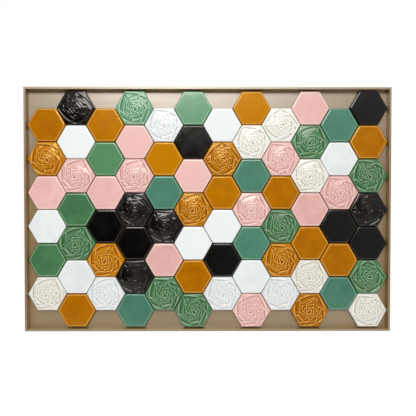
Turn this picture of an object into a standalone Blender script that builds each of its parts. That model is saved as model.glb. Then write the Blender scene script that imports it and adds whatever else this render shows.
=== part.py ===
"""Framed panel of hexagonal glazed tiles, some plain and some with a rose in relief.

The panel stands upright in the XZ plane and faces -Y. Its origin is at the middle of the flat
back, where it is fixed to a wall. Lengths are in metres.
"""

import math
from collections import namedtuple

import bmesh
import bpy
from mathutils import Vector

MM = 0.001

# Frame: a shallow tray of four mitred rails round a back board
RAIL_WIDTH = 8 * MM
RAIL_ARRIS = 0.8 * MM
BOARD_THICKNESS = 10 * MM
TRAY_DEPTH = 24 * MM          # from the board's face to the front of the rails
FIT_GAP = 0.3 * MM            # between pieces that are put together

# Tiles: their feet butt in the field, and their faces are a joint apart
TILE_WIDTH = 130 * MM         # across the flats of the face
JOINT = 3 * MM
TILE_THICKNESS = 14 * MM
FOOT_HEIGHT = 2 * MM          # straight part of the side, before the draft of the mould
BEVEL_WIDTH = 6 * MM          # from the outline of a plain face to where its bevel begins
BEVEL_DROP = 1.5 * MM         # from the plain face down to the arris
ARRIS_WIDTH = 1.2 * MM        # worn edge between the bevel and the side
ARRIS_DROP = 1.3 * MM
CROWN = 0.6 * MM              # rise of a plain face at its middle
SIDE_MARGIN = 0.4 * MM        # from the outermost feet to the left and right rails
END_MARGIN = 5 * MM           # from the outermost feet to the top and bottom rails

# Rose: rings of petals. A petal's face climbs inward to its lip and drops from there to a crease,
# from which the faces of the next ring climb.
ROSE_HEIGHT = 9 * MM          # from the rim of the tile to the highest petal
Ring = namedtuple("Ring", "petals turn reach lip crease drop lap bow")
# turn: angle of the first petal's start in degrees. reach: lip's distance from the middle, as a
# share of the tile's corner radius. lip and crease: heights as shares of the rose's height.
# drop: width of the slope from lip to crease, as a share of the reach. lap: how much further in
# each petal ends than it starts, as a share of the reach. bow: how far its middle bows out.
PETAL_RINGS = (
    Ring(petals=4, turn=62, reach=0.60, lip=0.60, crease=0.34, drop=0.10, lap=0.18, bow=0.25),
    Ring(petals=4, turn=38, reach=0.43, lip=0.80, crease=0.54, drop=0.13, lap=0.18, bow=0.25),
    Ring(petals=4, turn=30, reach=0.30, lip=0.92, crease=0.66, drop=0.18, lap=0.20, bow=0),
)
BUD = Ring(petals=3, turn=100, reach=0.17, lip=1.0, crease=0.72, drop=1, lap=0.22, bow=0)
PETAL_SPREAD = 0.86           # share of a petal's step round the ring that its lip takes up
# The four outer petals meet on the tile's outline, and every second one bows out further
OUTER_PETALS = 4
OUTER_REACH = 0.94            # share of the way to the outline
OUTER_BOWS = (0.15, 0.24)
OUTER_LIP = 0.32
OUTER_CREASE = 0.10
OUTER_DROP = 0.055

# Columns of tiles from left to right, each from the top down. A letter names the glaze; a
# number after it makes the tile a rose and gives the mould's turn, in sixths of a circle.
COLUMNS = (
    "A A5 P W G W4",
    "K0 W P4 G G4 W A",
    "A G P K A4 W4",
    "J5 P P4 K0 K K5 S",
    "W5 A S K5 P G5",
    "J K P A4 W A G5",
    "W A0 A W K W5",
    "A W5 S P4 S W P4",
    "W0 P5 A G5 A5 W5",
    "P G4 W4 P A W4 A4",
    "S W P5 K A S",
    "K A G5 K0 K G0 W5",
)
NODE_LIMIT = 60

Finish = namedtuple("Finish", "name color roughness")
GLAZES = {
    "A": Finish("amber", (0.48, 0.16, 0.005, 1), 0.15),
    "P": Finish("pink", (0.85, 0.50, 0.50, 1), 0.18),
    "W": Finish("white", (0.88, 0.90, 0.88, 1), 0.18),
    "G": Finish("green", (0.07, 0.20, 0.08, 1), 0.18),
    "S": Finish("sea_green", (0.06, 0.22, 0.15, 1), 0.15),
    "J": Finish("jade", (0.18, 0.40, 0.24, 1), 0.18),
    "K": Finish("black", (0.008, 0.008, 0.009, 1), 0.10),
}
LACQUER = Finish("lacquer", (0.42, 0.34, 0.24, 1), 0.40)

# A tile's place in the field
Tile = namedtuple("Tile", "column row x z glaze turn")

SIDES = 6
SIDE_STEP = 360 / SIDES
HALF_STEP = SIDE_STEP / 2
PITCH = TILE_WIDTH + JOINT
COLUMN_PITCH = PITCH * math.cos(math.radians(HALF_STEP))
FOOT_WIDTH = PITCH - FIT_GAP
FOOT_LEVEL = BOARD_THICKNESS + FIT_GAP
FACE_LEVEL = FOOT_LEVEL + TILE_THICKNESS
SAME_PLACE = 0.01 * MM


def clear_scene():
    for item in list(bpy.data.objects):
        bpy.data.objects.remove(item, do_unlink=True)


def principled(finish):
    material = bpy.data.materials.new(finish.name)
    material.use_nodes = True
    shader = material.node_tree.nodes["Principled BSDF"]
    shader.inputs["Base Color"].default_value = finish.color
    shader.inputs["Roughness"].default_value = finish.roughness
    shader.inputs["Metallic"].default_value = 0.0
    material.diffuse_color = finish.color
    return material


def object_from(bm, name, material):
    bmesh.ops.recalc_face_normals(bm, faces=bm.faces)
    mesh = bpy.data.meshes.new(name)
    bm.to_mesh(mesh)
    bm.free()
    mesh.materials.append(material)
    item = bpy.data.objects.new(name, mesh)
    bpy.context.scene.collection.objects.link(item)
    return item


def set_tiles():
    """Every tile of the field, with the field's middle at the origin."""
    tiles = []
    middle_column = (len(COLUMNS) - 1) / 2
    for column, line in enumerate(COLUMNS):
        marks = line.split()
        middle_row = (len(marks) - 1) / 2
        for row, mark in enumerate(marks):
            turn = int(mark[1:]) if len(mark) > 1 else None
            x = (column - middle_column) * COLUMN_PITCH
            z = (middle_row - row) * PITCH
            tiles.append(Tile(column + 1, row + 1, x, z, mark[0], turn))
    return tiles


def side_towards(tile, other):
    """Number of the side that a tile turns to its neighbour, or None where they don't touch."""
    across = Vector((other.x - tile.x, other.z - tile.z))
    if abs(across.length - PITCH) > SAME_PLACE:
        return None
    angle = math.degrees(math.atan2(across.y, across.x))
    return round((angle - HALF_STEP) / SIDE_STEP) % SIDES


def group_tiles(tiles, most):
    """Tiles of one glaze that touch, run together by twos and then by threes, until there are
    no more groups than most."""
    groups = [[tile] for tile in tiles]

    def touching(group, other):
        same = group[0].glaze == other[0].glaze
        return same and any(side_towards(a, b) is not None for a in group for b in other)

    for largest in range(2, len(tiles)):
        for group in list(groups):
            if group not in groups:
                continue
            for other in list(groups):
                if len(groups) <= most:
                    return groups
                if other is group or len(group) + len(other) > largest:
                    continue
                if touching(group, other):
                    group.extend(other)
                    groups.remove(other)
    return groups


def hexagon(widths):
    """Corners of a hexagon whose sides lie half of each width from its middle."""
    corners = []
    half_step = math.radians(HALF_STEP)
    for corner in range(SIDES):
        before = widths[corner - 1] / 2
        after = widths[corner] / 2
        # the corner lies where the lines of the two sides beside it meet
        along = (before + after) / 2 / math.cos(half_step)
        across = (after - before) / 2 / math.sin(half_step)
        turn = SIDE_STEP * corner
        corners.append(polar(along, turn) + polar(across, turn + 90))
    return corners


def outline_reach(angle):
    """Distance from a face's middle to its outline, in the direction of an angle in degrees."""
    from_side = (angle % SIDE_STEP) - HALF_STEP
    return TILE_WIDTH / 2 / math.cos(math.radians(from_side))


def polar(reach, angle):
    turned = math.radians(angle)
    return Vector((reach * math.cos(turned), reach * math.sin(turned)))


def outer_ring(turn):
    """Lip and crease of the outer petals: two points to a petal, a corner and its middle."""
    step = 360 / OUTER_PETALS
    ends = [turn + step * index for index in range(OUTER_PETALS)]
    corners = [polar(outline_reach(end) * OUTER_REACH, end) for end in ends]
    lip = []
    crease = []
    for index, corner in enumerate(corners):
        following = corners[(index + 1) % OUTER_PETALS]
        bow = OUTER_BOWS[index % len(OUTER_BOWS)]
        for point in (corner, (corner + following) / 2 * (1 + bow)):
            lip.append((point, OUTER_LIP))
            crease.append((point * (1 - OUTER_DROP), OUTER_CREASE))
    return lip, crease


def petal_ring(ring, turn):
    """Lip and crease of an inner ring: each petal's start and end, and its middle if it bows."""
    step = 360 / ring.petals
    reach = ring.reach * outline_reach(0)
    lip = []
    crease = []
    for index in range(ring.petals):
        angle = turn + ring.turn + step * index
        start = polar(reach * (1 + ring.lap / 2), angle)
        end = polar(reach * (1 - ring.lap / 2), angle + step * PETAL_SPREAD)
        points = [start, end]
        if ring.bow:
            points.insert(1, (start + end) / 2 * (1 + ring.bow))
        for point in points:
            lip.append((point, ring.lip))
            crease.append((point * (1 - ring.drop), ring.crease))
    return lip, crease


def angle_of(vertex, centre):
    return math.atan2(vertex.co.z - centre.z, vertex.co.x - centre.x)


def skin_rings(bm, outer, inner, centre):
    """Triangles between two rings of vertices that have different counts."""
    outer = sorted(outer, key=lambda vertex: angle_of(vertex, centre))
    inner = sorted(inner, key=lambda vertex: angle_of(vertex, centre))

    def angle_at(ring, index):
        return angle_of(ring[index % len(ring)], centre) + 2 * math.pi * (index // len(ring))

    a = 0
    b = 0
    while a < len(outer) or b < len(inner):
        out_next = angle_at(outer, a + 1)
        in_next = angle_at(inner, b + 1)
        if b >= len(inner) or (a < len(outer) and out_next <= in_next):
            step = (outer[a % len(outer)], outer[(a + 1) % len(outer)], inner[b % len(inner)])
            a += 1
        else:
            step = (outer[a % len(outer)], inner[(b + 1) % len(inner)], inner[b % len(inner)])
            b += 1
        bm.faces.new(step)


def add_ring(bm, tile, points, level):
    """Vertices at points of the tile's plane, each with a height of its own over a level."""
    ring = []
    for point, height in points:
        ring.append(bm.verts.new((tile.x + point.x, -(level + height), tile.z + point.y)))
    return ring


def level_hexagon(widths):
    return [(corner, 0) for corner in hexagon(widths)]


def add_body(bm, tile, joined, rim_level, rim_width):
    """Foot and drafted sides of a tile, open at the rim. Sides in joined meet a neighbour's
    foot and have no wall of their own there."""
    foot_widths = [PITCH if side in joined else FOOT_WIDTH for side in range(SIDES)]
    under = add_ring(bm, tile, level_hexagon(foot_widths), FOOT_LEVEL)
    shoulder = add_ring(bm, tile, level_hexagon(foot_widths), FOOT_LEVEL + FOOT_HEIGHT)
    edge = add_ring(bm, tile, level_hexagon([rim_width] * SIDES), rim_level)
    bm.faces.new(under)
    for side in range(SIDES):
        following = (side + 1) % SIDES
        if side not in joined:
            bm.faces.new((under[side], under[following], shoulder[following], shoulder[side]))
        bm.faces.new((shoulder[side], shoulder[following], edge[following], edge[side]))
    return edge


def add_plain_tile(bm, tile, joined):
    """Tile with a worn arris, a soft bevel and a slightly crowned face."""
    ring = add_body(bm, tile, joined, FACE_LEVEL - BEVEL_DROP - ARRIS_DROP, TILE_WIDTH)
    for inset, drop in ((ARRIS_WIDTH, BEVEL_DROP), (BEVEL_WIDTH, 0)):
        outline = level_hexagon([TILE_WIDTH - 2 * inset] * SIDES)
        inner = add_ring(bm, tile, outline, FACE_LEVEL - drop)
        for side in range(SIDES):
            following = (side + 1) % SIDES
            bm.faces.new((ring[side], ring[following], inner[following], inner[side]))
        ring = inner
    middle = bm.verts.new((tile.x, -(FACE_LEVEL + CROWN), tile.z))
    for side in range(SIDES):
        bm.faces.new((ring[side], ring[(side + 1) % SIDES], middle))


def add_rose_tile(bm, tile, joined):
    """Tile with a rose in relief: rings of petals that rise to a bud."""
    turn = SIDE_STEP * tile.turn
    centre = Vector((tile.x, 0, tile.z))

    def lifted(points):
        return [(point, share * ROSE_HEIGHT) for point, share in points]

    ring = add_body(bm, tile, joined, FACE_LEVEL, TILE_WIDTH)
    outlines = list(outer_ring(turn))
    for petals in PETAL_RINGS:
        outlines.extend(petal_ring(petals, turn))
    bud_lip, _ = petal_ring(BUD, turn)
    outlines.append(bud_lip)
    for outline in outlines:
        inner = add_ring(bm, tile, lifted(outline), FACE_LEVEL)
        skin_rings(bm, ring, inner, centre)
        ring = inner
    hollow = bm.verts.new((tile.x, -(FACE_LEVEL + BUD.crease * ROSE_HEIGHT), tile.z))
    ring = sorted(ring, key=lambda vertex: angle_of(vertex, centre))
    for index, vertex in enumerate(ring):
        bm.faces.new((vertex, ring[(index + 1) % len(ring)], hollow))


def group_name(group):
    places = "_".join(f"c{tile.column}r{tile.row}" for tile in sorted(group))
    glaze = GLAZES[group[0].glaze].name
    if len(group) > 1:
        return f"tiles_{glaze}_{places}"
    kind = "plain" if group[0].turn is None else "rose"
    return f"tile_{glaze}_{kind}_{places}"


def build_tiles(tiles, most, materials):
    for group in group_tiles(tiles, most):
        bm = bmesh.new()
        for tile in group:
            sides = [side_towards(tile, other) for other in group]
            joined = {side for side in sides if side is not None}
            if tile.turn is None:
                add_plain_tile(bm, tile, joined)
            else:
                add_rose_tile(bm, tile, joined)
        bmesh.ops.remove_doubles(bm, verts=bm.verts, dist=SAME_PLACE)
        object_from(bm, group_name(group), materials[group[0].glaze])


def build_rail(name, length, angle, distance, material):
    """Mitred rail whose outer face is at a distance from the middle, turned about Y."""
    depth = BOARD_THICKNESS + TRAY_DEPTH
    # the rail's section: how far in from the outer face, and how far out from the wall
    section = (
        (0, 0),
        (RAIL_WIDTH, 0),
        (RAIL_WIDTH, depth - RAIL_ARRIS),
        (RAIL_WIDTH - RAIL_ARRIS, depth),
        (RAIL_ARRIS, depth),
        (0, depth - RAIL_ARRIS),
    )
    mitre_gap = FIT_GAP / 2 * math.sqrt(2)
    bm = bmesh.new()
    ends = []
    for direction in (-1, 1):
        end = []
        for inward, outward in section:
            along = direction * (length / 2 - inward - mitre_gap)
            end.append(bm.verts.new((along, -outward, -inward)))
        ends.append(end)
        bm.faces.new(end)
    for index in range(len(section)):
        following = (index + 1) % len(section)
        bm.faces.new((ends[0][index], ends[0][following], ends[1][following], ends[1][index]))
    rail = object_from(bm, name, material)
    turned = math.radians(angle)
    rail.rotation_euler = (0, turned, 0)
    rail.location = (distance * math.sin(turned), 0, distance * math.cos(turned))


def build_frame(width, height, material):
    build_rail("rail_top", width, 0, height / 2, material)
    build_rail("rail_right", height, 90, width / 2, material)
    build_rail("rail_bottom", width, 180, height / 2, material)
    build_rail("rail_left", height, 270, width / 2, material)
    inset = 2 * (RAIL_WIDTH + FIT_GAP)
    bm = bmesh.new()
    bmesh.ops.create_cube(bm, size=1)
    bmesh.ops.scale(bm, verts=bm.verts, vec=(width - inset, BOARD_THICKNESS, height - inset))
    bmesh.ops.translate(bm, verts=bm.verts, vec=(0, -BOARD_THICKNESS / 2, 0))
    object_from(bm, "back_board", material)


def panel_size(tiles):
    """Width and height over the rails, worked out from the field of tiles."""
    foot_side = FOOT_WIDTH / 2
    foot_corner = foot_side / math.cos(math.radians(HALF_STEP))
    half_width = max(tile.x for tile in tiles) + foot_corner + SIDE_MARGIN + RAIL_WIDTH
    half_height = max(tile.z for tile in tiles) + foot_side + END_MARGIN + RAIL_WIDTH
    return 2 * half_width, 2 * half_height


def main():
    clear_scene()
    materials = {letter: principled(finish) for letter, finish in GLAZES.items()}
    lacquer = principled(LACQUER)
    tiles = set_tiles()
    width, height = panel_size(tiles)
    build_frame(width, height, lacquer)
    frame_nodes = len(bpy.data.objects)
    build_tiles(tiles, NODE_LIMIT - frame_nodes, materials)


main()
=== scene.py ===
# %% [markdown]
# A framed panel of hexagonal glazed tiles, dressed in Blender.
#
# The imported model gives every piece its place: a shallow tray of lacquered board, and a field of
# press-moulded tiles, some plain and some with a rose in relief. It could be dressed by only
# giving those solids better materials. Here the tiles are made again as finer meshes in the same
# places, because a glazed edge or a petal is rounder than a faceted solid can be.

# %% The frame
import math
import random
import re
from collections import namedtuple

import bpy
import numpy as np
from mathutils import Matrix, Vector


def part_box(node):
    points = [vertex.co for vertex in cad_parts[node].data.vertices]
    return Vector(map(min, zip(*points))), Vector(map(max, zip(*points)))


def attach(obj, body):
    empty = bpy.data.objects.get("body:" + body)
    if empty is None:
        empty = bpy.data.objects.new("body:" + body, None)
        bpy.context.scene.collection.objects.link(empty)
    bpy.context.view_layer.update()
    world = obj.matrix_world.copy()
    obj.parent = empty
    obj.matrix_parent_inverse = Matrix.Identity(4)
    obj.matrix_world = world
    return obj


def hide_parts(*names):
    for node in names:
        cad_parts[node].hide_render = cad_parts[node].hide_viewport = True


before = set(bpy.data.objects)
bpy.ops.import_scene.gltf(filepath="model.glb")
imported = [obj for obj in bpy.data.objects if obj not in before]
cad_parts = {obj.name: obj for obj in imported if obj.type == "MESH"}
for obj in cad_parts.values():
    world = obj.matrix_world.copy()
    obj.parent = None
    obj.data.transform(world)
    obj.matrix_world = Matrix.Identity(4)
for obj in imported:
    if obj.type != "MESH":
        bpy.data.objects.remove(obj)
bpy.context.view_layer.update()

MM = 0.001

# %% [markdown]
# The field is a honeycomb with its points to the left and right, in twelve columns. Each tile is
# one fired piece with a glaze of its own, and every rose comes from one mould, which was turned
# by sixths of a circle before it was pressed. The pattern could be read off the solids' names,
# but those say nothing of the turns, so it is written out once as it hangs on the wall: a letter
# for the glaze, and a number where the tile is a rose.

# %% The field of tiles
COLUMNS = (
    "A A5 P W G W4",
    "K0 W P4 G G4 W A",
    "A G P K A4 W4",
    "J5 P P4 K0 K K5 S",
    "W5 A S K5 P G5",
    "J K P A4 W A G5",
    "W A0 A W K W5",
    "A W5 S P4 S W P4",
    "W0 P5 A G5 A5 W5",
    "P G4 W4 P A W4 A4",
    "S W P5 K A S",
    "K A G5 K0 K G0 W5",
)
Tile = namedtuple("Tile", "column row x z glaze turn node")


def nodes_of_tiles():
    """The solid that holds each tile, by the tile's column and row."""
    found = {}
    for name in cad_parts:
        for column, row in re.findall(r"c(\d+)r(\d+)", name):
            found[int(column), int(row)] = name
    return found


def middle_of(node):
    low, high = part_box(node)
    return (low + high) / 2


# Two tiles of the second column that lie five rows apart
PITCH = (middle_of("tile_white_plain_c2r2").z - middle_of("tile_amber_plain_c2r7").z) / 5
COLUMN_PITCH = PITCH * math.cos(math.radians(30))


def set_tiles():
    """Every tile with its place, which the frame's pitch gives."""
    holder = nodes_of_tiles()
    placed = []
    for column, line in enumerate(COLUMNS):
        marks = line.split()
        for row, mark in enumerate(marks):
            turn = int(mark[1:]) if len(mark) > 1 else None
            x = (column - (len(COLUMNS) - 1) / 2) * COLUMN_PITCH
            z = ((len(marks) - 1) / 2 - row) * PITCH
            node = holder[column + 1, row + 1]
            placed.append(Tile(column + 1, row + 1, x, z, mark[0], turn, node))
    return placed


tiles = set_tiles()
print(len(tiles), "tiles,", sum(tile.turn is not None for tile in tiles), "of them roses")

# %% [markdown]
# A press-moulded tile has a foot, and sides that lean in so that it leaves its mould. Its size is
# measured on one of the solids, and only what the solid is too plain to show is a value here. A
# tile's outline could be six corners, but a ring with many points to a side can follow a face
# that isn't quite flat, and rings of one count join up easily.

# %% The tile's own sizes
foot_low, foot_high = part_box("tile_white_plain_c2r2")
FOOT_WIDTH = foot_high.z - foot_low.z
FOOT_LEVEL = -foot_high.y
CROWN = 0.6 * MM              # rise of a plain face at its middle
FACE_LEVEL = -foot_low.y - CROWN
JOINT = 3 * MM                # between two faces
FOOT_HEIGHT = 2 * MM          # straight part of the side
SHOULDER = 0.75               # where the side has a ring, as a share of the way up from the foot
FACE_WIDTH = PITCH - JOINT
CORNER_REACH = FACE_WIDTH / math.sqrt(3)
CORNER_EASE = 0.7 * MM        # how much a corner is worn back


def hexagon_ring(to_a_side, width=FACE_WIDTH):
    """Points round a hexagon, counter-clockwise from its right corner, as an array of x and z."""
    ease = 1 - CORNER_EASE / CORNER_REACH
    corners = np.radians(np.arange(0, 360, 60))
    corners = np.column_stack((np.cos(corners), np.sin(corners))) * width / math.sqrt(3)
    following = np.roll(corners, -1, axis=0)
    share = (np.arange(to_a_side) / to_a_side)[None, :, None]
    points = corners[:, None] * (1 - share) + following[:, None] * share
    points[:, 0] *= ease
    return points.reshape(-1, 2)


def tile_wall(rim_level, to_a_side):
    """Rings of the underside, the foot and the side up to the rim, as (points, level) pairs."""
    foot = hexagon_ring(to_a_side, FOOT_WIDTH)
    shoulder_width = FOOT_WIDTH * (1 - SHOULDER) + FACE_WIDTH * SHOULDER
    shoulder_level = FOOT_LEVEL * (1 - SHOULDER) + rim_level * SHOULDER
    return [
        (foot, FOOT_LEVEL),
        (foot, FOOT_LEVEL + FOOT_HEIGHT),
        (hexagon_ring(to_a_side, shoulder_width), shoulder_level),
    ]


print("face", round(FACE_WIDTH / MM, 1), "mm across the flats, tile",
      round((FACE_LEVEL - FOOT_LEVEL) / MM, 1), "mm thick")

# %% [markdown]
# A plain face has a soft bevel all round, with a worn arris outside it. Inside the bevel it could
# be one flat polygon, but glaze shows every unevenness of the clay in its reflections. So the face
# has rings of its own, and each tile is crowned and leans a little differently, by luck that its
# place in the field decides.

# %% The plain tile
PLAIN_SIDE = 10               # points to a side
LEAN = 0.12 * MM              # how far a corner of a face stands out of level
CROWN_SHARE = 0.72            # of the crown, on a tile with no luck either way
CROWN_LUCK = 0.2
BEVEL_WIDTH = 5.5 * MM
BEVEL_SLOPE = 0.30
BEVEL_EASE = 0.5 * MM
ARRIS_RADIUS = 1.8 * MM
ARRIS_FOOT = 0.4 * MM         # from the side up to the arris
BEVEL_STEPS = (0, 0.1, 0.4, 0.9, 1.8, 3.0, 4.2, 4.9, 5.5, 6.1, 7.0)  # mm in from the outline
FACE_SHARES = (0.93, 0.8, 0.6, 0.4, 0.2)   # rings inside the bevel
CROWN_START = 6               # a high power lets the crown start steeply inside the bevel


def edge_drop(inward):
    """How far a plain face lies below its flat, at a distance in from its outline."""
    ramp = BEVEL_WIDTH - inward
    bevel = BEVEL_SLOPE * 0.5 * (ramp + math.sqrt(ramp ** 2 + BEVEL_EASE ** 2))
    round_part = max(ARRIS_RADIUS - inward, 0)
    return bevel + ARRIS_RADIUS - math.sqrt(ARRIS_RADIUS ** 2 - round_part ** 2)


def out_of_true(seed):
    """A tile's small unevenness: how its face leans and bulges, as three numbers."""
    luck = random.Random(seed)
    return [luck.uniform(-1, 1) for _ in range(3)]


def plain_rings(seed):
    """Rings of a plain tile from the underside to the middle of its face."""
    lean_x, lean_z, bulge = out_of_true(seed)
    crown = CROWN * (CROWN_SHARE + CROWN_LUCK * bulge)
    rings = tile_wall(FACE_LEVEL - edge_drop(0) - ARRIS_FOOT, PLAIN_SIDE)
    for step in BEVEL_STEPS:
        points = hexagon_ring(PLAIN_SIDE, FACE_WIDTH - 2 * step * MM)
        rings.append((points, FACE_LEVEL - edge_drop(step * MM)))
    flat = FACE_WIDTH - 2 * BEVEL_STEPS[-1] * MM
    for share in FACE_SHARES:
        points = hexagon_ring(PLAIN_SIDE, flat * share)
        reach = np.hypot(points[:, 0], points[:, 1]) / CORNER_REACH
        lean = LEAN * (lean_x * points[:, 0] + lean_z * points[:, 1]) / CORNER_REACH
        rise = (crown * (1 - reach ** 2) + lean) * (1 - share ** CROWN_START)
        rings.append((points, FACE_LEVEL + rise))
    return rings, FACE_LEVEL + crown


def skin(rings, top):
    """Points and faces of a closed body of rings with equal counts, closed by a middle point."""
    count = len(rings[0][0])
    points = []
    for ring, level in rings:
        level = np.broadcast_to(level, count)
        points.extend((x, -up, z) for (x, z), up in zip(ring, level))
    faces = [tuple(range(count))]
    for ring in range(len(rings) - 1):
        for index in range(count):
            following = (index + 1) % count
            a = ring * count
            b = a + count
            faces.append((a + following, a + index, b + index, b + following))
    points.append((0, -top, 0))
    last = (len(rings) - 1) * count
    for index in range(count):
        faces.append((last + (index + 1) % count, last + index, len(points) - 1))
    return points, faces


print("a plain tile has", len(skin(*plain_rings(0))[0]), "points")

# %% [markdown]
# The rose is a pressed relief of folded, nearly flat petals. On a section through it, each
# petal's face climbs slowly towards the middle, ends in a rounded lip, and drops steeply into the
# crease from which the next petal climbs. It could be sculpted with a brush. Here it is worked
# out like a turner's drawing: each petal is a lip line from a start to an end, its surface falls
# away on both sides of that line, and the rose is whatever stands highest at each point. Petals
# then overlap by themselves, as they do in the clay.

# %% The rose's petals
Petal = namedtuple("Petal", "start reach end end_reach lip bow slope drop")
# start and end: angles in degrees, counter-clockwise. reach and end_reach: the lip's distance
# from the middle there, as shares of the corner's. lip: its height, as a share of the rose's.
# bow: how far the lip bows out of the straight line between its ends. slope and drop: how fast
# the surface falls outside the lip and inside it, in shares of height to shares of reach.


def petal(start, reach, end, end_reach, lip, bow=0.0, slope=2.0, drop=5.0):
    return Petal(start, reach, end, end_reach, lip, bow, slope, drop)


OUTER_PETALS = (
    petal(0, 0.95, 92, 0.84, 0.42, bow=0.18, slope=1.6),
    petal(90, 0.86, 182, 0.93, 0.46, bow=0.20, slope=1.6),
    petal(180, 0.95, 272, 0.84, 0.42, bow=0.24, slope=1.6),
    petal(270, 0.88, 362, 0.93, 0.42, bow=0.26, slope=1.6),
)
SECOND_PETALS = (
    petal(-8, 0.76, 60, 0.62, 0.54, bow=0.01, slope=2.3),
    petal(54, 0.66, 128, 0.58, 0.60, bow=0.01, slope=2.3),
    petal(122, 0.72, 196, 0.56, 0.57, bow=0.01, slope=2.3),
    petal(190, 0.66, 262, 0.57, 0.59, bow=0.01, slope=2.3),
    petal(256, 0.70, 326, 0.58, 0.58, bow=0.01, slope=2.3),
    petal(320, 0.66, 356, 0.62, 0.57, bow=0.01, slope=2.3),
)
THIRD_PETALS = (
    petal(22, 0.50, 86, 0.44, 0.69, bow=0.04),
    petal(80, 0.47, 144, 0.43, 0.68, bow=0.04),
    petal(136, 0.50, 204, 0.43, 0.69, bow=0.06),
    petal(198, 0.48, 270, 0.42, 0.70, bow=0.07),
    petal(264, 0.47, 314, 0.43, 0.69, bow=0.02),
    petal(306, 0.49, 386, 0.43, 0.70, bow=0.08),
)
FOURTH_PETALS = (
    petal(0, 0.37, 62, 0.32, 0.80, bow=0.03),
    petal(56, 0.35, 118, 0.31, 0.80, bow=0.04),
    petal(112, 0.36, 182, 0.31, 0.80, bow=0.05),
    petal(176, 0.37, 244, 0.31, 0.80, bow=0.04),
    petal(238, 0.35, 304, 0.30, 0.81, bow=0.04),
    petal(298, 0.36, 364, 0.31, 0.81, bow=0.03),
)
BUD_PETALS = (
    petal(-14, 0.25, 80, 0.21, 0.89, bow=0.12),
    petal(74, 0.24, 168, 0.20, 0.90, bow=0.14),
    petal(162, 0.24, 262, 0.20, 0.89, bow=0.16),
    petal(256, 0.24, 350, 0.21, 0.90, bow=0.14),
    petal(40, 0.13, 176, 0.10, 0.96, bow=0.40),
    petal(190, 0.12, 320, 0.10, 0.95, bow=0.36),
)
PETALS = OUTER_PETALS + SECOND_PETALS + THIRD_PETALS + FOURTH_PETALS + BUD_PETALS
print(len(PETALS), "petals")

# %% [markdown]
# Between the outer petals and the second ring the clay is folded: a wedge climbs inward from each
# of the four places where two outer petals meet. Under everything lies a low mound, the heart,
# so that no crease goes down to the tile. Where two surfaces meet, a plain maximum would leave a
# knife-sharp crease, which glaze never has, so the highest ones are blended over a small height.

# %% The rose's surface
ROSE_HEIGHT = 8.8 * MM
END_SLOPE = 5.0               # fall beyond a petal's ends
LIP_ROUNDING = 0.008          # share of the corner's reach
BLEND = 0.012                 # share of the rose's height
RIM_EASE = 0.03               # share of the face over which the relief rises from the rim
# Height of the heart under the petals, as (reach, height) shares
HEART = ((0, 0.72), (0.2, 0.68), (0.3, 0.58), (0.4, 0.44), (0.5, 0.30), (0.6, 0.18),
         (0.7, 0.08), (0.85, 0.02), (1.0, 0.0))
Fold = namedtuple("Fold", "angle reach low end high spread side")
# angle: its ray, in degrees. reach and low: where it starts, and its height there. end and high:
# the same where it ends. spread: how fast it widens inward. side: how fast its sides fall.
FOLDS = (
    Fold(0, 0.93, low=0.16, end=0.64, high=0.52, spread=0.16, side=1.6),
    Fold(90, 0.84, low=0.20, end=0.60, high=0.52, spread=0.30, side=1.6),
    Fold(180, 0.93, low=0.16, end=0.62, high=0.52, spread=0.16, side=1.6),
    Fold(270, 0.84, low=0.20, end=0.58, high=0.52, spread=0.30, side=1.6),
)
FOLD_END_SLOPE = 6


def petal_surface(petal, reach, angle):
    """Height of one petal at points given by their reach and angle, as shares."""
    start = math.radians(petal.start)
    width = math.radians(petal.end - petal.start)
    local = (angle - start - width / 2 + math.pi) % (2 * math.pi) - math.pi + width / 2
    inside = np.clip(local, 0, width)
    chord = petal.reach * petal.end_reach * math.sin(width) / (
        petal.reach * np.sin(inside) + petal.end_reach * np.sin(width - inside))
    along = inside / width
    out = reach - chord * (1 + petal.bow * 4 * along * (1 - along))
    past = np.abs(local - inside) * reach
    rounded = np.sqrt(out ** 2 + LIP_ROUNDING ** 2) - LIP_ROUNDING
    fall = (petal.slope - petal.drop) / 2 * out + (petal.slope + petal.drop) / 2 * rounded
    return petal.lip - fall - END_SLOPE * past


def fold_surface(fold, x, y):
    """Height of a fold that runs inward along a ray and falls away to both sides."""
    turned = math.radians(fold.angle)
    along = x * math.cos(turned) + y * math.sin(turned)
    across = np.abs(y * math.cos(turned) - x * math.sin(turned))
    inward = fold.reach - along
    crest = fold.low + (fold.high - fold.low) * inward / (fold.reach - fold.end)
    beside = np.clip(across - fold.spread * np.clip(inward, 0, None), 0, None)
    beyond = np.clip(-inward, 0, None) + np.clip(fold.end - along, 0, None)
    return crest - fold.side * beside - FOLD_END_SLOPE * beyond


def blended_highest(surfaces):
    """The highest of the surfaces at each point, with soft creases where they meet."""
    stack = np.stack(surfaces)
    top = stack.max(axis=0)
    return top + BLEND * np.log(np.exp((stack - top) / BLEND).sum(axis=0)) - BLEND * 0.5


def flats_reach(across, up):
    """How far points lie from the middle, measured square to the nearest side of a hexagon."""
    side = np.degrees(np.arctan2(up, across)) % 60 - 30
    return np.hypot(across, up) * np.cos(np.radians(side))


def rose_height(points):
    """Height over the tile's rim at points of the mould, in metres."""
    x, y = points.T / CORNER_REACH
    reach = np.hypot(x, y)
    angle = np.arctan2(y, x)
    surfaces = [np.interp(reach, *zip(*HEART))]
    surfaces += [petal_surface(petal, reach, angle) for petal in PETALS]
    surfaces += [fold_surface(fold, x, y) for fold in FOLDS]
    to_rim = 1 - flats_reach(x, y) / math.cos(math.radians(30))
    faded = 1 - np.exp(-np.clip(to_rim, 0, 1) / RIM_EASE)
    return np.clip(blended_highest(surfaces) * faded, 0, 1) * ROSE_HEIGHT


print(len(FOLDS), "folds over a heart", HEART[0][1], "of the rose's height")

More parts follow.
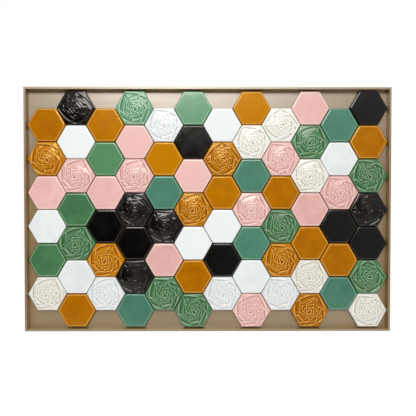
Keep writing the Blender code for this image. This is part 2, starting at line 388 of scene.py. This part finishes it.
# %% [markdown]
# The mould is the hexagon of the tile filled with smaller hexagons, one inside the other, each
# with one point fewer to a side. A square grid would do for the relief, but it would leave a
# ragged rim. These rings end exactly on the tile's outline, so the side can be joined on.

# %% The mould of the rose
ROSE_RINGS = 50
RIM_FLARE = 0.3 * MM          # how much wider the worn rim is than the face
RIM_DROP = 0.35 * MM          # and how much lower


def lattice():
    """Points and triangles of a hexagon filled with smaller hexagons, one inside the other."""
    points = [np.zeros((1, 2))]
    first = [0]
    for ring in range(1, ROSE_RINGS + 1):
        first.append(first[-1] + (6 * (ring - 1) if ring > 1 else 1))
        width = FACE_WIDTH * ring / ROSE_RINGS
        points.append(hexagon_ring(ring, width))
    faces = []
    for ring in range(1, ROSE_RINGS + 1):
        count, inner_count = 6 * ring, 6 * (ring - 1)
        for side in range(6):
            for step in range(ring):
                a = first[ring] + side * ring + step
                b = first[ring] + (side * ring + step + 1) % count
                if ring == 1:
                    faces.append((b, a, 0))
                    continue
                c = first[ring - 1] + (side * (ring - 1) + step) % inner_count
                faces.append((b, a, c))
                if step < ring - 1:
                    d = first[ring - 1] + (side * (ring - 1) + step + 1) % inner_count
                    faces.append((b, c, d))
    return np.concatenate(points), faces


mould_points, mould_faces = lattice()
mould_height = rose_height(mould_points)


def rose_body():
    """Points and faces of a rose tile: the mould's face, the rim and the side down to the foot."""
    points = [(x, -(FACE_LEVEL + up), z) for (x, z), up in zip(mould_points, mould_height)]
    faces = list(mould_faces)
    count = 6 * ROSE_RINGS
    outer = len(points) - count
    rings = [(hexagon_ring(ROSE_RINGS, FACE_WIDTH + RIM_FLARE), FACE_LEVEL - RIM_DROP)]
    rings += reversed(tile_wall(FACE_LEVEL, ROSE_RINGS))
    for ring, level in rings:
        inner = outer
        outer = len(points)
        points.extend((x, -level, z) for x, z in ring)
        for index in range(count):
            following = (index + 1) % count
            faces.append((outer + following, outer + index, inner + index, inner + following))
    faces.append(tuple(range(outer, outer + count)))
    return points, faces


rose_points, rose_faces = rose_body()
print("mould of", len(mould_points), "points, rose", round(mould_height.max() / MM, 2), "mm high")

# %% [markdown]
# The glaze runs thin on every edge and gathers in every hollow, and the hollows also get painted
# crease shade. A renderer can guess that from the shape, but it is measured here from the mesh
# itself, once, and kept on its points: how far each point stands over the mean of its
# surroundings, near and wider. On a rose the pale edge fades towards the rim, which would else
# show as a bright outline. A plain tile has one edge that matters, the top of its bevel, so there
# the pale line is drawn by distance alone.

# %% Where the glaze runs thin
NARROW_PASSES, NARROW_STAND, NARROW_SHARE = 3, 0.25 * MM, 0.5   # near surroundings
BROAD_PASSES, BROAD_STAND, BROAD_SHARE = 9, 0.7 * MM, 0.8       # wider surroundings
RIM_FADE = 6                  # rings over which the pale edge fades towards the rim
RIM_LEAST = 0.1
LINE_IN = 5.0 * MM            # the pale line's distance in from a plain tile's outline
LINE_WIDTH = 1.5 * MM
LINE_DEPTH = 4 * MM           # no pale line lower on the side than this


def mesh_from(name, points, faces, tile, turn):
    """A mesh at a tile's place, turned by a number of degrees as seen from the front."""
    turned = math.radians(turn)
    cos, sin = math.cos(turned), math.sin(turned)
    moved = [(x * cos - z * sin + tile.x, y, x * sin + z * cos + tile.z) for x, y, z in points]
    mesh = bpy.data.meshes.new(name)
    mesh.from_pydata(moved, [], faces)
    mesh.update()
    return mesh


def neighbour_means(values, edges):
    """For each point, the mean of its neighbours' values."""
    total = np.zeros(len(values))
    count = np.zeros(len(values))
    for a, b in (edges.T, edges[:, ::-1].T):
        np.add.at(total, a, values[b])
        np.add.at(count, a, 1)
    return total / count


def stands_out(levels, edges, passes, scale):
    """How far each point stands over the ground around it, smoothed by a number of passes."""
    ground = levels
    for _ in range(passes):
        ground = neighbour_means(ground, edges)
    return np.clip((levels - ground) / scale, -1, 1)


def measure_edges(mesh):
    """Where glaze runs thin (up to 1), and hollows for pooled glaze and painted crease shade (down
    to -1), at two widths.
    """
    edges = np.array([edge.vertices[:] for edge in mesh.edges])
    levels = np.array([-vertex.co.y for vertex in mesh.vertices])
    narrow = stands_out(levels, edges, NARROW_PASSES, NARROW_STAND)
    broad = stands_out(levels, edges, BROAD_PASSES, BROAD_STAND)
    return np.clip(NARROW_SHARE * narrow + BROAD_SHARE * broad, -1, 1)


def measure_rose():
    """The rose's thin and pooled places, the thin ones faded towards the rim."""
    middle = Tile(0, 0, 0, 0, "W", 0, None)
    mesh = mesh_from("rose_first", rose_points, rose_faces, middle, 0)
    edge = measure_edges(mesh)
    bpy.data.meshes.remove(mesh)
    rings = np.arange(1, ROSE_RINGS + 1)
    side = np.full(len(rose_points) - len(mould_points), ROSE_RINGS)
    ring_of_point = np.concatenate(([0], rings.repeat(6 * rings), side))
    fade = np.clip((ROSE_RINGS - ring_of_point) / RIM_FADE, RIM_LEAST, 1)
    return np.where(edge > 0, edge * fade, edge)


def break_line(points):
    """Where the glaze of a plain tile breaks: a line round the face at the top of its bevel."""
    places = np.array(points)
    inward = FACE_WIDTH / 2 - flats_reach(places[:, 0], places[:, 2])
    line = np.exp(-((inward - LINE_IN) / LINE_WIDTH) ** 2)
    return line * (places[:, 1] < -FACE_LEVEL + LINE_DEPTH)


rose_edge = measure_rose()
print("glaze is thin on", round((rose_edge > 0.5).mean() * 100), "per cent of a rose's points")

# %% [markdown]
# Materials are node trees, and three small helpers keep their code short: one makes a node, one
# mixes two colours and one does a sum. They could be left out, at the price of five lines for
# every node. Each takes either a plain value or another node's output for an input.

# %% Helpers for node trees
WHITE = (1, 1, 1, 1)
NOISE_RANGE = (0.3, 0.7)      # where most of a noise's values lie


def feed(tree, socket, value):
    """Give an input another node's output, or else a plain value."""
    if isinstance(value, bpy.types.NodeSocket):
        tree.links.new(value, socket)
    else:
        socket.default_value = value


def add_node(tree, kind, inputs=None, **settings):
    node = tree.nodes.new(kind)
    for name, value in settings.items():
        setattr(node, name, value)
    for name, value in (inputs or {}).items():
        feed(tree, node.inputs[name], value)
    return node


def ramp_between(tree, value, low, high, to_low=0.0, to_high=1.0):
    """A value eased from to_low to to_high while it goes from low to high."""
    node = add_node(tree, "ShaderNodeMapRange", {
        "Value": value, "From Min": low, "From Max": high, "To Min": to_low, "To Max": to_high},
        interpolation_type="SMOOTHSTEP")
    return node.outputs["Result"]


def noise(tree, vector, scale, detail=2.0, roughness=0.5):
    node = add_node(tree, "ShaderNodeTexNoise", {
        "Vector": vector, "Scale": scale, "Detail": detail, "Roughness": roughness})
    return node.outputs["Fac"]


def mixed(tree, share, first, second):
    """A colour between two. Inputs 0, 6 and 7 are the share and the colours A and B."""
    node = add_node(tree, "ShaderNodeMix", {}, data_type="RGBA")
    for index, value in ((0, share), (6, first), (7, second)):
        feed(tree, node.inputs[index], value)
    return node.outputs[2]


def maths(tree, operation, first, second=0.0, clamp=False):
    node = add_node(tree, "ShaderNodeMath", {0: first, 1: second}, operation=operation,
                    use_clamp=clamp)
    return node.outputs[0]


def new_group(name, inputs, outputs):
    """An empty shader group with its sockets, and the ends to link its nodes between."""
    group = bpy.data.node_groups.new(name, "ShaderNodeTree")
    for socket, kind, value in inputs:
        item = group.interface.new_socket(socket, in_out="INPUT", socket_type=kind)
        if value is not None:
            item.default_value = value
    for socket, kind in outputs:
        group.interface.new_socket(socket, in_out="OUTPUT", socket_type=kind)
    start = group.nodes.new("NodeGroupInput")
    end = group.nodes.new("NodeGroupOutput")
    return group, start.outputs, end.inputs


def new_material(name):
    """A material with its node tree and its shader."""
    material = bpy.data.materials.new(name)
    material.use_nodes = True
    return material, material.node_tree, material.node_tree.nodes["Principled BSDF"]


print("helpers are ready")

# %% [markdown]
# A glaze isn't paint. It breaks to a paler tone where it runs thin over an edge, deepens where it
# pools in a crease, and clouds a little from the firing. The deep colour in the creases is partly
# pooled glaze and partly painted crease shade. Low on the side it stops, and the bare clay shows,
# dark towards the foot as painted shade in the joints. One way is to paint masks by hand. Here one
# node group does it for all eight glazes from the measured edges, and each glaze only brings its
# own three colours.

# %% The glaze breaks, with painted shade in creases and joints
CLOUD_SCALE = 22.0            # clouds to a metre
FINE_SCALE = 260.0
WANDER = 0.3                  # how far the break wanders from the measured edge
THIN_RANGE, THIN_MOST = (0.15, 0.8), 0.85
# The deep colour in the hollows: partly pooled glaze, partly painted crease shade
POOL_SHADE_RANGE, POOL_SHADE_MOST = (0.03, 0.7), 0.95
CLOUD_SHARE = 0.5
# A tile's tone includes painted shade on the listed tiles in the bottom rows
TONE_SHARE = 0.45             # how much a tile's own tone counts beside the clouds
SHADE_MOST = 0.5              # how far clouds and tone can take the glaze towards its deep colour
# Where the side turns to the clay colour, which is partly painted shade in the joints
BARE_SHADE_RANGE, BARE_ROUGH = (0.55, 0.8), 0.6
GLAZE_ROUGH = (0.15, 0.24)

glaze_break_and_shade, given, out = new_group(
    "Glaze break and shade",
    [("Glaze", "NodeSocketColor", WHITE), ("Thin", "NodeSocketColor", WHITE),
     ("Pool", "NodeSocketColor", WHITE), ("Clay_and_shade", "NodeSocketColor", WHITE),
     ("Edge", "NodeSocketFloat", 0.0), ("Side", "NodeSocketFloat", 0.0),
     ("Tone", "NodeSocketFloat", 0.0), ("Place", "NodeSocketVector", None)],
    [("Color", "NodeSocketColor"), ("Roughness", "NodeSocketFloat")])
cloud = noise(glaze_break_and_shade, given["Place"], CLOUD_SCALE, detail=3.0, roughness=0.55)
fine = noise(glaze_break_and_shade, given["Place"], FINE_SCALE, detail=2.0, roughness=0.6)
wander = maths(glaze_break_and_shade, "MULTIPLY", maths(glaze_break_and_shade, "SUBTRACT", fine, 0.5), WANDER)
edge = maths(glaze_break_and_shade, "ADD", given["Edge"], wander)
thin = ramp_between(glaze_break_and_shade, edge, *THIN_RANGE)
hollow = maths(glaze_break_and_shade, "MULTIPLY", given["Edge"], -1.0)
pool = ramp_between(glaze_break_and_shade, hollow, *POOL_SHADE_RANGE)
clouds = ramp_between(glaze_break_and_shade, cloud, *NOISE_RANGE, 0.0, CLOUD_SHARE)
shade = maths(glaze_break_and_shade, "ADD", clouds,
              maths(glaze_break_and_shade, "MULTIPLY", given["Tone"], TONE_SHARE))
color = mixed(glaze_break_and_shade, maths(glaze_break_and_shade, "MULTIPLY", shade, SHADE_MOST, clamp=True),
              given["Glaze"], given["Pool"])
# Towards the deep colour in the hollows: pooled glaze and painted crease shade
color = mixed(glaze_break_and_shade, maths(glaze_break_and_shade, "MULTIPLY", pool, POOL_SHADE_MOST), color, given["Pool"])
color = mixed(glaze_break_and_shade, maths(glaze_break_and_shade, "MULTIPLY", thin, THIN_MOST), color, given["Thin"])
# Low on the side the colour goes to bare clay, darkened as painted shade deep in the joints
side = maths(glaze_break_and_shade, "ADD", given["Side"], wander)
bare_and_shaded = ramp_between(glaze_break_and_shade, side, *BARE_SHADE_RANGE)
color = mixed(glaze_break_and_shade, bare_and_shaded, color, given["Clay_and_shade"])
glaze_break_and_shade.links.new(color, out["Color"])
rough = maths(glaze_break_and_shade, "ADD", ramp_between(glaze_break_and_shade, bare_and_shaded, 0.0, 1.0, 0.0, BARE_ROUGH),
              ramp_between(glaze_break_and_shade, cloud, *NOISE_RANGE, *GLAZE_ROUGH))
glaze_break_and_shade.links.new(rough, out["Roughness"])
print("group", glaze_break_and_shade.name, "has", len(glaze_break_and_shade.nodes), "nodes")

# %% [markdown]
# Fired glaze is smooth but never flat. It swells in long waves, has a fine peel like an orange's,
# and here and there a pinhole where gas came out. All three are too small to be worth points in
# the mesh, so this group adds them up as a height, for a bump.

# %% The skin of the glaze
SWELL_SCALE, PEEL_SCALE, PINHOLE_SCALE = 34.0, 190.0, 150.0     # to a metre
PEEL_SHARE, PINHOLE_SHARE = 0.08, 0.04
PINHOLE_RANGE = (0.05, 0.13)  # from a pinhole's floor to its lip, in its cell's width

glaze_skin, given, out = new_group(
    "Glaze skin",
    [("Ripple", "NodeSocketFloat", 1.0), ("Pinholes", "NodeSocketFloat", 1.0),
     ("Place", "NodeSocketVector", None)],
    [("Height", "NodeSocketFloat")])
swell = noise(glaze_skin, given["Place"], SWELL_SCALE, detail=1.0, roughness=0.4)
peel = noise(glaze_skin, given["Place"], PEEL_SCALE, detail=2.0, roughness=0.5)
pits = add_node(glaze_skin, "ShaderNodeTexVoronoi",
                {"Vector": given["Place"], "Scale": PINHOLE_SCALE})
pit = ramp_between(glaze_skin, pits.outputs["Distance"], *PINHOLE_RANGE, -1.0, 0.0)
height = maths(glaze_skin, "ADD", swell, maths(glaze_skin, "MULTIPLY", peel, PEEL_SHARE))
height = maths(glaze_skin, "MULTIPLY", height, given["Ripple"])
pinholes = maths(glaze_skin, "MULTIPLY", maths(glaze_skin, "MULTIPLY", pit, PINHOLE_SHARE),
                 given["Pinholes"])
glaze_skin.links.new(maths(glaze_skin, "ADD", height, pinholes), out["Height"])
print("group", glaze_skin.name, "has", len(glaze_skin.nodes), "nodes")

# %% [markdown]
# Seven glazes go by the record's slots, and the white comes in two: a cool tin white, and one
# that fired warmer. Each has its own colour, a thin one for the edges, and a deep one for the
# pools, which also paints the shade in the creases. In the whites the grey deep colour is mostly
# painted shade. The gloss could be a layer over a matt body, as on the real tile, but one clear
# surface over the colour reflects the same at this size, so each material is one Principled
# shader. The amber's gloss is tinted, because a clear one over so deep a yellow would look milky.

# %% The glazes
GLAZE_IOR = 1.5
SKIN_HEIGHT = 0.25 * MM
Glaze = namedtuple("Glaze", "slot color thin pool gloss", defaults=(WHITE,))


def srgb(*levels):
    """Colour from screen levels of 0 to 255, as the linear values that a shader takes."""
    shares = [level / 255 for level in levels]
    linear = [s / 12.92 if s <= 0.04045 else ((s + 0.055) / 1.055) ** 2.4 for s in shares]
    return (*linear, 1)


# Each glaze: slot, colour, thin colour, deep colour for pooled glaze and painted crease shade,
# gloss tint
GLAZES = {
    "A": Glaze("amber_glaze", srgb(198, 126, 0), srgb(228, 172, 86), srgb(136, 68, 0),
               gloss=(1, 0.8, 0.3, 1)),
    "P": Glaze("pink_glaze", srgb(243, 198, 195), srgb(250, 224, 220), srgb(206, 150, 144)),
    "W": Glaze("white_glaze", srgb(243, 250, 255), srgb(250, 254, 255), srgb(203, 208, 211)),
    "I": Glaze("white_glaze", srgb(246, 247, 243), srgb(253, 252, 248), srgb(196, 193, 180)),
    "G": Glaze("green_glaze", srgb(87, 143, 99), srgb(146, 178, 138), srgb(38, 80, 46)),
    "S": Glaze("sea_green_glaze", srgb(83, 140, 118), srgb(128, 168, 150), srgb(48, 96, 78)),
    "J": Glaze("jade_glaze", srgb(118, 171, 137), srgb(176, 208, 180), srgb(66, 118, 86)),
    "K": Glaze("black_glaze", srgb(7, 5, 4), srgb(40, 33, 28), srgb(4, 3, 3)),
}
# Colour of the bare side: partly the clay, partly painted shade deep in the joints
CLAY_AND_JOINT_SHADE = srgb(58, 38, 24)


def glaze_material(name, glaze):
    material, tree, shader = new_material(name)
    place = add_node(tree, "ShaderNodeTexCoord").outputs["Object"]
    masks = {mask: add_node(tree, "ShaderNodeAttribute", attribute_name=mask).outputs["Fac"]
             for mask in ("edge", "side", "tone")}
    colours = add_node(tree, "ShaderNodeGroup", node_tree=glaze_break_and_shade)
    for socket, value in (("Glaze", glaze.color), ("Thin", glaze.thin), ("Pool", glaze.pool),
                          ("Clay_and_shade", CLAY_AND_JOINT_SHADE), ("Edge", masks["edge"]),
                          ("Side", masks["side"]), ("Tone", masks["tone"]), ("Place", place)):
        feed(tree, colours.inputs[socket], value)
    ripples = add_node(tree, "ShaderNodeGroup", node_tree=glaze_skin)
    feed(tree, ripples.inputs["Place"], place)
    bump = add_node(tree, "ShaderNodeBump", {"Strength": 1.0, "Distance": SKIN_HEIGHT,
                                             "Height": ripples.outputs["Height"]})
    tree.links.new(colours.outputs["Color"], shader.inputs["Base Color"])
    tree.links.new(colours.outputs["Roughness"], shader.inputs["Roughness"])
    tree.links.new(bump.outputs["Normal"], shader.inputs["Normal"])
    shader.inputs["IOR"].default_value = GLAZE_IOR
    shader.inputs["Specular Tint"].default_value = glaze.gloss
    return material


glazes = {letter: glaze_material(f"glaze_{letter}_{glaze.slot}", glaze)
          for letter, glaze in GLAZES.items()}
print(len(glazes), "glazes")

# %% [markdown]
# No two firings are alike. Some tiles came out deeper or paler than the rest of their glaze, and
# some whites warmer. Luck alone could decide that, but on this panel the tiles that differ can be
# told, so they are listed by column, and luck only sets the rest. The deeper list also holds
# tiles in the bottom rows whose darkening is painted shade.

# %% How each tile was fired, with painted shade on the bottom rows
WARM_WHITES = {1: (6,), 8: (2,), 9: (1,), 10: (3, 6), 12: (7,)}
# Deeper-fired tiles, and tiles in the bottom rows darkened as painted shade
DEEPER_AND_SHADED_TILES = {1: (1, 5, 6), 2: (4, 5, 7), 3: (6,), 4: (7,), 5: (5, 6), 6: (6, 7), 7: (6,),
                8: (7,), 9: (3, 4, 6), 10: (4, 5, 6, 7), 11: (3, 5, 6), 12: (2, 3, 6, 7)}
FIRED_PALER = {2: (2,), 3: (2,), 4: (1, 2), 5: (1, 2), 6: (3, 5), 7: (1, 4), 8: (1, 2), 9: (1,)}
STRONG_TONE = 1.2             # deeper is positive, paler is negative
TONE_LUCK = (0.0, 0.5)
TONE_SEED = 500


def seed_of(tile):
    return tile.column * 10 + tile.row


def is_in(tile, rows_by_column):
    return tile.row in rows_by_column.get(tile.column, ())


def tone_of(tile):
    """How deep a tile's glaze fired, and on the listed tiles in the bottom rows, painted shade."""
    if is_in(tile, DEEPER_AND_SHADED_TILES):
        return STRONG_TONE
    if is_in(tile, FIRED_PALER):
        return -STRONG_TONE
    return random.Random(seed_of(tile) + TONE_SEED).uniform(*TONE_LUCK)


def glaze_of(tile):
    warm = tile.glaze == "W" and is_in(tile, WARM_WHITES)
    return glazes["I" if warm else tile.glaze]


print(sum(is_in(tile, DEEPER_AND_SHADED_TILES) for tile in tiles), "deeper,",
      sum(is_in(tile, FIRED_PALER) for tile in tiles), "paler")

# %% [markdown]
# Every tile is now made where it hangs. A mesh at the origin could be shared by all the roses and
# only be moved and turned, but points that lie at their own place on the wall give each tile its
# own clouds and ripples from the same material.

# %% The tiles
# The side's clay colour, partly painted joint shade, starts this far below the face
SIDE_START = 2.4 * MM         # how far below the face the bare side is measured from


def side_mask(points, rim_level):
    """How far down the side each point lies: 0 on the face, 1 at the foot."""
    depth = np.array([-y for _, y, _ in points])
    return np.clip((rim_level - depth) / (rim_level - FOOT_LEVEL - FOOT_HEIGHT), 0, 1)


def keep_on_points(mesh, name, values):
    attribute = mesh.attributes.new(name, "FLOAT", "POINT")
    attribute.data.foreach_set("value", np.asarray(values, np.float32))


def smooth_all_but_underside(mesh):
    """Smooth shading. The underside is the first or the last face, the one with many corners."""
    mesh.shade_smooth()
    for polygon in (mesh.polygons[0], mesh.polygons[len(mesh.polygons) - 1]):
        polygon.use_smooth = len(polygon.vertices) < 5


def make_tile(tile):
    slot = GLAZES[tile.glaze].slot
    kind = "plain" if tile.turn is None else "rose"
    name = f"{kind}_tile_{slot[:-len('_glaze')]}_c{tile.column}r{tile.row}"
    if tile.turn is None:
        points, faces = skin(*plain_rings(seed_of(tile)))
        mesh = mesh_from(name, points, faces, tile, 0)
        edge = break_line(points)
    else:
        points, faces = rose_points, rose_faces
        mesh = mesh_from(name, points, faces, tile, 60 * tile.turn)
        edge = rose_edge
    smooth_all_but_underside(mesh)
    keep_on_points(mesh, "edge", edge)
    keep_on_points(mesh, "side", side_mask(points, FACE_LEVEL - SIDE_START))
    keep_on_points(mesh, "tone", np.full(len(points), tone_of(tile)))
    mesh.materials.append(glaze_of(tile))
    piece = bpy.data.objects.new(name, mesh)
    bpy.context.scene.collection.objects.link(piece)
    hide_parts(tile.node)
    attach(piece, "root")
    return piece


made = [make_tile(tile) for tile in tiles]
print(len(made), "tiles made,", sum(len(piece.data.polygons) for piece in made), "faces")

# %% [markdown]
# The tray frame is board sprayed with a satin lacquer, which takes a soft sheen from the light
# above, and the faint lines of the brushing stay in it. It could be textured with a picture of
# brushed board; two noises, one of them stretched along the board, do the same and never repeat.
# A high index of refraction gives the sheen its strength, without the dark look of bare metal.

# %% The lacquer of the frame
BRUSHING = (4.0, 120.0, 190.0)      # lines to a metre, along X, Y and Z
CLOUDY_SCALE = 5.0
LINES_SHARE, CLOUDY_SHARE = 0.55, 0.25
SATIN_ROUGH = (0.36, 0.44)
SATIN_IOR = 3.0
GRAIN_HEIGHT = 0.05 * MM
LACQUER = srgb(145, 114, 56)
LACQUER_DEEP = srgb(127, 96, 42)

satin, given, out = new_group(
    "Satin grain",
    [("Lacquer", "NodeSocketColor", WHITE), ("Deep", "NodeSocketColor", WHITE),
     ("Place", "NodeSocketVector", None)],
    [("Color", "NodeSocketColor"), ("Roughness", "NodeSocketFloat"),
     ("Height", "NodeSocketFloat")])
stretched = add_node(satin, "ShaderNodeMapping", {"Vector": given["Place"], "Scale": BRUSHING})
lines = noise(satin, stretched.outputs["Vector"], 1.0, detail=3.0, roughness=0.6)
cloudy = noise(satin, given["Place"], CLOUDY_SCALE, detail=2.0, roughness=0.5)
share = maths(satin, "ADD", ramp_between(satin, lines, *NOISE_RANGE, 0.0, LINES_SHARE),
              ramp_between(satin, cloudy, *NOISE_RANGE, 0.0, CLOUDY_SHARE))
satin.links.new(mixed(satin, share, given["Lacquer"], given["Deep"]), out["Color"])
satin.links.new(ramp_between(satin, lines, *NOISE_RANGE, *SATIN_ROUGH), out["Roughness"])
satin.links.new(lines, out["Height"])


def satin_lacquer():
    material, tree, shader = new_material("satin_lacquer")
    place = add_node(tree, "ShaderNodeTexCoord").outputs["Object"]
    grain = add_node(tree, "ShaderNodeGroup", node_tree=satin)
    for socket, value in (("Lacquer", LACQUER), ("Deep", LACQUER_DEEP), ("Place", place)):
        feed(tree, grain.inputs[socket], value)
    bump = add_node(tree, "ShaderNodeBump", {"Strength": 1.0, "Distance": GRAIN_HEIGHT,
                                             "Height": grain.outputs["Height"]})
    tree.links.new(grain.outputs["Color"], shader.inputs["Base Color"])
    tree.links.new(grain.outputs["Roughness"], shader.inputs["Roughness"])
    tree.links.new(bump.outputs["Normal"], shader.inputs["Normal"])
    shader.inputs["IOR"].default_value = SATIN_IOR
    return material


lacquer = satin_lacquer()
for name in ("back_board", "rail_top", "rail_bottom", "rail_left", "rail_right"):
    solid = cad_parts[name]
    solid.data.materials.clear()
    solid.data.materials.append(lacquer)
print("lacquered the board and the rails")

# %% [markdown]
# The panel hangs square on, and the camera stands close in front of it, about three centimetres
# above its middle, and looks down by about a degree. A longer lens from further off would show
# less of the tray's inner walls than can be seen on all four sides.

# %% The camera
VIEW_ANGLE = 56.0             # degrees across the picture
EYE = (-0.0054, -1.566, 0.0299)
AIM = (0.0008, -0.024, 0.0062)


def turned_to(place, target):
    """The rotation of a camera or a light at a place that looks at a target."""
    return (Vector(target) - Vector(place)).to_track_quat("-Z", "Y").to_euler()


camera_data = bpy.data.cameras.new("camera")
camera_data.sensor_width = 36
camera_data.lens = camera_data.sensor_width / 2 / math.tan(math.radians(VIEW_ANGLE / 2))
camera_data.clip_start = 0.05
camera = bpy.data.objects.new("camera", camera_data)
bpy.context.scene.collection.objects.link(camera)
camera.location = EYE
camera.rotation_euler = turned_to(EYE, AIM)
bpy.context.scene.camera = camera
print("lens", round(camera_data.lens, 2), "mm")

# %% [markdown]
# A glossy glaze shows its room, so the light is made like a photographer's. Round the panel is a
# soft room, brighter above and to the right. The lens itself sees plain white instead, which a
# Light Path node decides. A photograph of a studio could light it too, but a few eased steps of
# the direction can each be set by themselves.

# %% The room
ROOM_TINT = (1, 0.985, 0.96)
RIGHT_WALL = 0.32             # light from the front right
FRONT_TOP = 0.25              # light from the front above
ROUND_LEAST, ROUND_TOP = 0.20, 0.4    # light from beside and behind, and more of it from above
# Where each wall begins and is full, as parts of a direction along Y, X and Z
FRONT_RANGE, RIGHT_RANGE, TOP_RANGE = (-0.9, 0.1), (-0.25, 0.45), (-0.1, 0.5)

scene = bpy.context.scene
scene.view_settings.view_transform = "Standard"
world = bpy.data.worlds.new("studio")
scene.world = world
world.use_nodes = True
tree = world.node_tree
tree.nodes.clear()
direction = add_node(tree, "ShaderNodeTexCoord").outputs["Generated"]
parts = add_node(tree, "ShaderNodeSeparateXYZ", {"Vector": direction})
to_front = ramp_between(tree, parts.outputs["Y"], *FRONT_RANGE, 1.0, 0.0)
to_right = ramp_between(tree, parts.outputs["X"], *RIGHT_RANGE)
to_top = ramp_between(tree, parts.outputs["Z"], *TOP_RANGE)
front_light = maths(tree, "ADD", maths(tree, "MULTIPLY", to_right, RIGHT_WALL),
                    maths(tree, "MULTIPLY", to_top, FRONT_TOP))
around = maths(tree, "ADD", ROUND_LEAST, maths(tree, "MULTIPLY", to_top, ROUND_TOP))
strength = add_node(tree, "ShaderNodeMix", {0: to_front, 2: around, 3: front_light})
lit = add_node(tree, "ShaderNodeBackground", {"Color": (*ROOM_TINT, 1),
                                              "Strength": strength.outputs[0]})
plain = add_node(tree, "ShaderNodeBackground", {"Color": WHITE, "Strength": 1.0})
seen = add_node(tree, "ShaderNodeLightPath").outputs["Is Camera Ray"]
both = add_node(tree, "ShaderNodeMixShader", {0: seen, 1: lit.outputs[0], 2: plain.outputs[0]})
add_node(tree, "ShaderNodeOutputWorld", {"Surface": both.outputs[0]})
print("room of", len(tree.nodes), "nodes")

# %% [markdown]
# Two softboxes stand in front, well above the panel. The large one lights everything and shines
# back from the petals that face up. The small one is lower and a little warmer: the board at the
# top mirrors it as a broad sheen, while the flat tiles, which are much glossier, mirror only the
# dark room below it. One light from further up would be simpler, but the top rail would throw a
# shadow over the first row. A third light behind the panel only keeps its back from going black.

# %% The softboxes
KEY_POWER, SHEEN_POWER, BACK_POWER = 190, 44, 30      # watts
SHEEN_TINT = (1, 0.94, 0.8)


def softbox(name, place, target, width, height, power, tint=(1, 1, 1)):
    light = bpy.data.lights.new(name, "AREA")
    light.shape = "RECTANGLE"
    light.size, light.size_y = width, height
    light.energy = power
    light.color = tint
    item = bpy.data.objects.new(name, light)
    bpy.context.scene.collection.objects.link(item)
    item.location = place
    item.rotation_euler = turned_to(place, target)
    item.visible_camera = False
    return item


softboxes = [
    softbox("key_softbox", place=(-0.15, -4.9, 3.5), target=(0.0, 0.0, 0.1),
            width=3.8, height=2.6, power=KEY_POWER, tint=ROOM_TINT),
    softbox("low_softbox", place=(-0.9, -4.2, 2.3), target=(-0.3, 0.0, 0.4),
            width=2.1, height=1.05, power=SHEEN_POWER, tint=SHEEN_TINT),
    softbox("back_fill", place=(0.0, 2.2, 1.2), target=(0, 0, 0),
            width=2.0, height=1.2, power=BACK_POWER),
]
print(len(softboxes), "softboxes")

# %% [markdown]
# The floor is plain and pale, and lies so far below the panel that the lens doesn't see it from
# the front. It throws a little light up under the tiles.

# %% The floor
FLOOR_LEVEL = -1.3
FLOOR_SIDE, FLOOR_FRONT, FLOOR_BACK = 3, -2.6, 0.7
FLOOR_COLOR = (0.85, 0.85, 0.84, 1)
FLOOR_ROUGH = 0.8

floor_mesh = bpy.data.meshes.new("floor")
floor_mesh.from_pydata(
    [(-FLOOR_SIDE, FLOOR_FRONT, FLOOR_LEVEL), (FLOOR_SIDE, FLOOR_FRONT, FLOOR_LEVEL),
     (FLOOR_SIDE, FLOOR_BACK, FLOOR_LEVEL), (-FLOOR_SIDE, FLOOR_BACK, FLOOR_LEVEL)],
    [], [(0, 1, 2, 3)])
floor = bpy.data.objects.new("floor", floor_mesh)
bpy.context.scene.collection.objects.link(floor)
pale, _, shader = new_material("pale_floor")
shader.inputs["Base Color"].default_value = FLOOR_COLOR
shader.inputs["Roughness"].default_value = FLOOR_ROUGH
floor_mesh.materials.append(pale)
print("floor at", FLOOR_LEVEL, "m")
